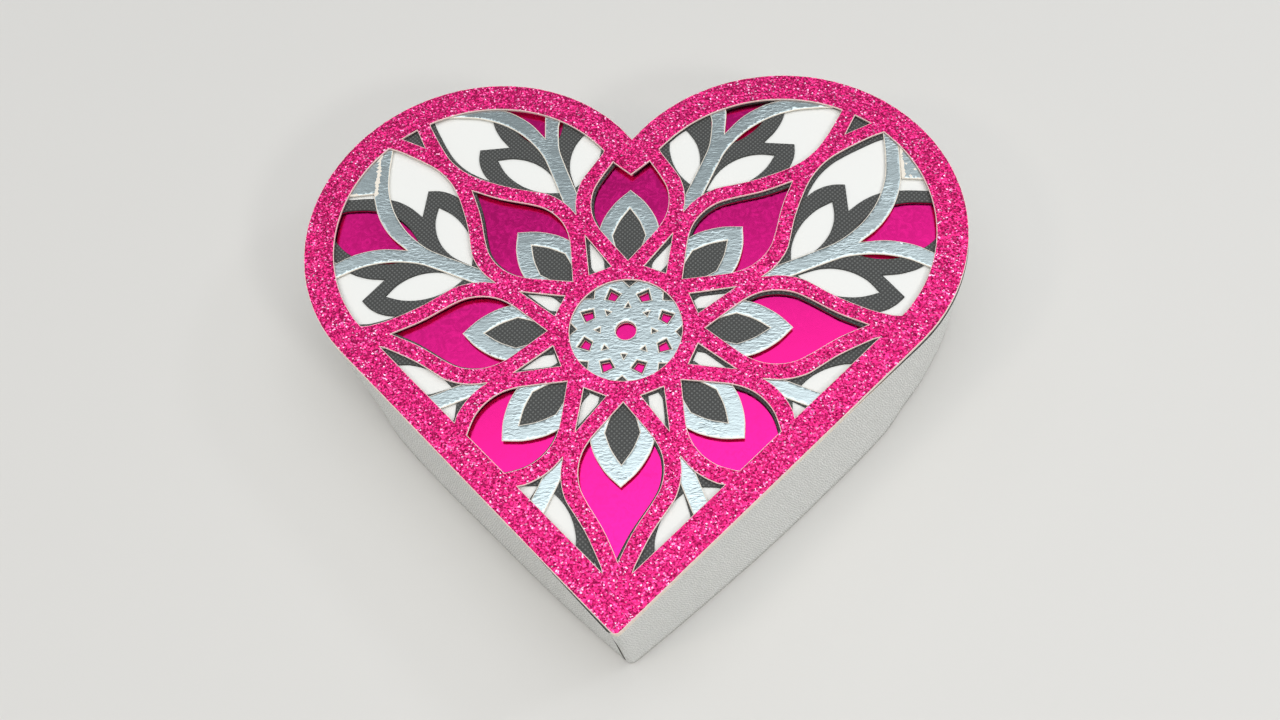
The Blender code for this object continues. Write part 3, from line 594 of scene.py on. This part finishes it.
def white_finish():
    """Smooth uncoated card: matt, with a very fine tooth."""
    made, tree, shader = material("smooth_white_card", WHITE_COLOR, 0.65)
    spot = add(tree, "ShaderNodeTexCoord")
    tooth_noise = add(tree, "ShaderNodeTexNoise", {"Vector": spot.outputs["Object"],
                                                   "Scale": 1 / (0.5 * MM), "Detail": 3.0})
    bump = add(tree, "ShaderNodeBump", {"Height": tooth_noise.outputs["Fac"], "Strength": 0.15,
                                        "Distance": 0.03 * MM})
    tree.links.new(bump.outputs["Normal"], shader.inputs["Normal"])
    return made


white_card = cut_sheet("smooth_card", "white_layer", WHITE_LIFT, WHITE_SPACING, white_finish(), core, flat,
                       drop=FLAT_DROP)

# Charcoal layer
# Dark card embossed all over with small raised dots in staggered rows. It was glued about a degree out, so
# it leaves a dark line beside the glitter strips and looks out past the lid's edge left of the tip.
CHARCOAL_LIFT = 0.4 * MM
CHARCOAL_SPACING = 3.0 * MM
CHARCOAL_TRIM = 0.15 * MM              # how much smaller it is than its solid
DOT_PITCH = 0.72 * MM
DOT_TURN = 44.0                        # degrees
CHARCOAL_COLOR = "#393A38"
DOT_COLOR = "#646663"
CHARCOAL_EDGE = "#3B3C39"


def dotted_finish():
    """Staggered dots: a regular grid turned by DOT_TURN, whose distance to the nearest crossing gives each
    dot's height and a paler colour on its top."""
    made, tree, shader = material("dotted_charcoal_card", CHARCOAL_COLOR, 0.55)
    spot = add(tree, "ShaderNodeTexCoord")
    turned = add(tree, "ShaderNodeMapping", {"Vector": spot.outputs["Object"],
                                             "Rotation": (0.0, 0.0, math.radians(DOT_TURN)),
                                             "Scale": (1 / DOT_PITCH, 1 / DOT_PITCH, 0.0)})
    dots = add(tree, "ShaderNodeTexVoronoi", {"Vector": turned.outputs["Vector"], "Scale": 1.0,
                                              "Randomness": 0.0}, voronoi_dimensions="2D")
    rise = add(tree, "ShaderNodeMapRange", {"Value": dots.outputs["Distance"], "From Min": 0.42,
                                            "From Max": 0.14, "To Min": 0.0, "To Max": 1.0},
               interpolation_type="SMOOTHSTEP")
    tone = add(tree, "ShaderNodeMix", {"Factor": rise.outputs["Result"], "A": linear(CHARCOAL_COLOR),
                                       "B": linear(DOT_COLOR)}, data_type="RGBA")
    bump = add(tree, "ShaderNodeBump", {"Height": rise.outputs["Result"], "Strength": 0.7,
                                        "Distance": 0.1 * MM})
    tree.links.new(tone.outputs["Result"], shader.inputs["Base Color"])
    tree.links.new(bump.outputs["Normal"], shader.inputs["Normal"])
    return made


charcoal_edge = material("charcoal_cut_edge", CHARCOAL_EDGE, 0.9)[0]
dotted_card = cut_sheet("dotted_card", "charcoal_layer", CHARCOAL_LIFT, CHARCOAL_SPACING, dotted_finish(),
                        charcoal_edge, flat, drop=FLAT_DROP, trim=CHARCOAL_TRIM)

# Silver layer
# Card faced with finely hammered silver foil: the rosette in the ring, the chevrons in the petals and the
# forked branches. The foil is creased crosswise, and its cut edges show the cream core.
SILVER_LIFT = 0.2 * MM
SILVER_SPACING = 0.55 * MM
SILVER_RIM = 0.18 * MM
SILVER_DROP = 0.12 * MM
SILVER_EDGE = "#EFE7D8"
RIPPLE_HEIGHT = 0.008 * MM
TORN = 0.65 * MM                       # width of the bare border of the loose corners by the lobes
CORNER_EDGES = ((1, 57.1), (-1, 55.5))  # side, and millimetres from the middle line
CORNER_LOW = 34.0                      # also in millimetres
CORNER_TOP = 46.0
SPOT_LEVEL = 1.7


def rippled(places, draw):
    """Three crossed sine waves, a few thousandths of a millimetre high, and a little random height."""
    x, y = places[:, 0] / MM, places[:, 1] / MM
    waves = np.sin(1.9 * y + 1.1 * np.sin(0.7 * x)) + np.sin(1.3 * x + 2.3 * y) + np.sin(2.7 * y - 0.9 * x)
    return RIPPLE_HEIGHT * (waves / 3 - 1) + draw.uniform(-0.5, 0.0, len(x)) * RIPPLE_HEIGHT


def foil_finish():
    """Silver foil on card: a pale metal whose creases, 0.5 by 1.3 mm, run mostly crosswise. They are
    strong in patches about 8 mm across and fainter between them."""
    made, tree, shader = material("hammered_silver_foil", "#BFCDCF", 0.2, 1.0)
    spot = add(tree, "ShaderNodeTexCoord")
    stretched = add(tree, "ShaderNodeMapping", {"Vector": spot.outputs["Object"],
                                                "Scale": (1 / (1.3 * MM), 1 / (0.5 * MM), 1 / MM)})
    crease = add(tree, "ShaderNodeTexNoise", {"Vector": stretched.outputs["Vector"], "Scale": 1.0,
                                              "Detail": 2.0, "Distortion": 0.6})
    patch = add(tree, "ShaderNodeTexNoise", {"Vector": spot.outputs["Object"], "Scale": 1 / (8 * MM)})
    amount = add(tree, "ShaderNodeMapRange", {"Value": patch.outputs["Fac"], "From Min": 0.4,
                                              "From Max": 0.62, "To Min": 0.28, "To Max": 0.95})
    bump = add(tree, "ShaderNodeBump", {"Height": crease.outputs["Fac"],
                                        "Strength": amount.outputs["Result"], "Distance": 0.1 * MM})
    tree.links.new(bump.outputs["Normal"], shader.inputs["Normal"])
    return made


def bare_corners(mesh):
    """Gives the core's material to the faces of the two loose corners that lie within TORN of their upright
    or lower edge, which a sum of two sine waves makes uneven, and to a few spots of the right one, where
    another such sum is above SPOT_LEVEL."""
    middles = np.empty(len(mesh.polygons) * 3)
    mesh.polygons.foreach_get("center", middles)
    x, y = middles.reshape(-1, 3)[:, :2].T / MM
    slots = np.empty(len(mesh.polygons), dtype=np.int32)
    mesh.polygons.foreach_get("material_index", slots)
    for side, edge in CORNER_EDGES:
        torn = TORN / MM * (1 + 0.15 * np.sin(1.1 * x) + 0.15 * np.sin(0.9 * y))
        within = (side * x > edge) & (y > CORNER_LOW)
        bare = (side * x < edge + torn) | (y < CORNER_LOW + torn)
        if side > 0:
            bare |= np.sin(1.9 * x + 2.4 * y) + np.sin(2.3 * x - 1.5 * y) > SPOT_LEVEL
        slots[within & bare & (y < CORNER_TOP)] = 1
    mesh.polygons.foreach_set("material_index", slots)


silver_edge = material("foil_card_core", SILVER_EDGE, 0.9)[0]
foil_card = cut_sheet("foil_card", "silver_layer", SILVER_LIFT, SILVER_SPACING, foil_finish(), silver_edge,
                      rippled, rim=SILVER_RIM, drop=SILVER_DROP, seed=4)
bare_corners(foil_card.data)
for polygon in foil_card.data.polygons:
    polygon.use_smooth = polygon.material_index == 0

# Glitter layer
# Card coated with coarse pink glitter: flakes about 0.3 mm across, each lying at its own angle.
# The cutter has left its windows with a fine cream line of bare card, and its outline slightly fuzzy.
FLAKE = 0.3 * MM
FLAKE_RELIEF = 0.08 * MM
FLAKE_TILT = (0.52, 0.52, 0.2)
GLITTER_RIM = 0.12 * MM
GLITTER_DROP = 0.1 * MM
GLITTER_FUZZ = 0.06 * MM
GLITTER_STEP = 0.4 * MM                # between the points of its outlines
GLITTER_EDGE = "#F1D6CE"


def flaked(places, draw):
    """A random height for every point, so that each triangle faces its own way like a flake."""
    return -draw.uniform(0.0, 1.0, len(places)) * FLAKE_RELIEF


def glitter_finish():
    """Metallised film flakes in clear lacquer. Each cell of a Voronoi pattern is a flake with its own
    shade, from deep crimson to near white, and its own tilt, which is added to the surface's normal."""
    made, tree, shader = material("coarse_pink_glitter", "#D81B72", 0.34, 0.9)
    spot = add(tree, "ShaderNodeTexCoord")
    cells = add(tree, "ShaderNodeTexVoronoi", {"Vector": spot.outputs["Object"], "Scale": 1 / FLAKE})
    parts = add(tree, "ShaderNodeSeparateColor", {"Color": cells.outputs["Color"]})
    ramp = add(tree, "ShaderNodeValToRGB", {"Fac": parts.outputs[0]})
    shades = ((0.0, "#A8124E"), (0.25, "#C81B66"), (0.55, "#E22979"), (0.85, "#F43A8A"), (0.95, "#FF72B4"),
              (1.0, "#FFD2EA"))
    while len(ramp.color_ramp.elements) < len(shades):
        ramp.color_ramp.elements.new(0.5)
    for stop, (position, shade) in zip(ramp.color_ramp.elements, shades):
        stop.position = position
        stop.color = linear(shade)
    geometry = add(tree, "ShaderNodeNewGeometry")
    centred = add(tree, "ShaderNodeVectorMath", {0: cells.outputs["Color"], 1: (0.5, 0.5, 0.5)},
                  operation="SUBTRACT")
    tilt = add(tree, "ShaderNodeVectorMath", {0: centred.outputs["Vector"], 1: FLAKE_TILT,
                                              2: geometry.outputs["Normal"]}, operation="MULTIPLY_ADD")
    facing = add(tree, "ShaderNodeVectorMath", {0: tilt.outputs["Vector"]}, operation="NORMALIZE")
    tree.links.new(ramp.outputs["Color"], shader.inputs["Base Color"])
    tree.links.new(facing.outputs["Vector"], shader.inputs["Normal"])
    return made


glitter_edge = material("glitter_card_core", GLITTER_EDGE, 0.9)[0]
glitter_card = cut_sheet("glitter_card", "glitter_layer", 0.0, FLAKE, glitter_finish(), glitter_edge,
                         flaked, rim=GLITTER_RIM, drop=GLITTER_DROP, ragged=GLITTER_FUZZ, seed=7,
                         step=GLITTER_STEP)
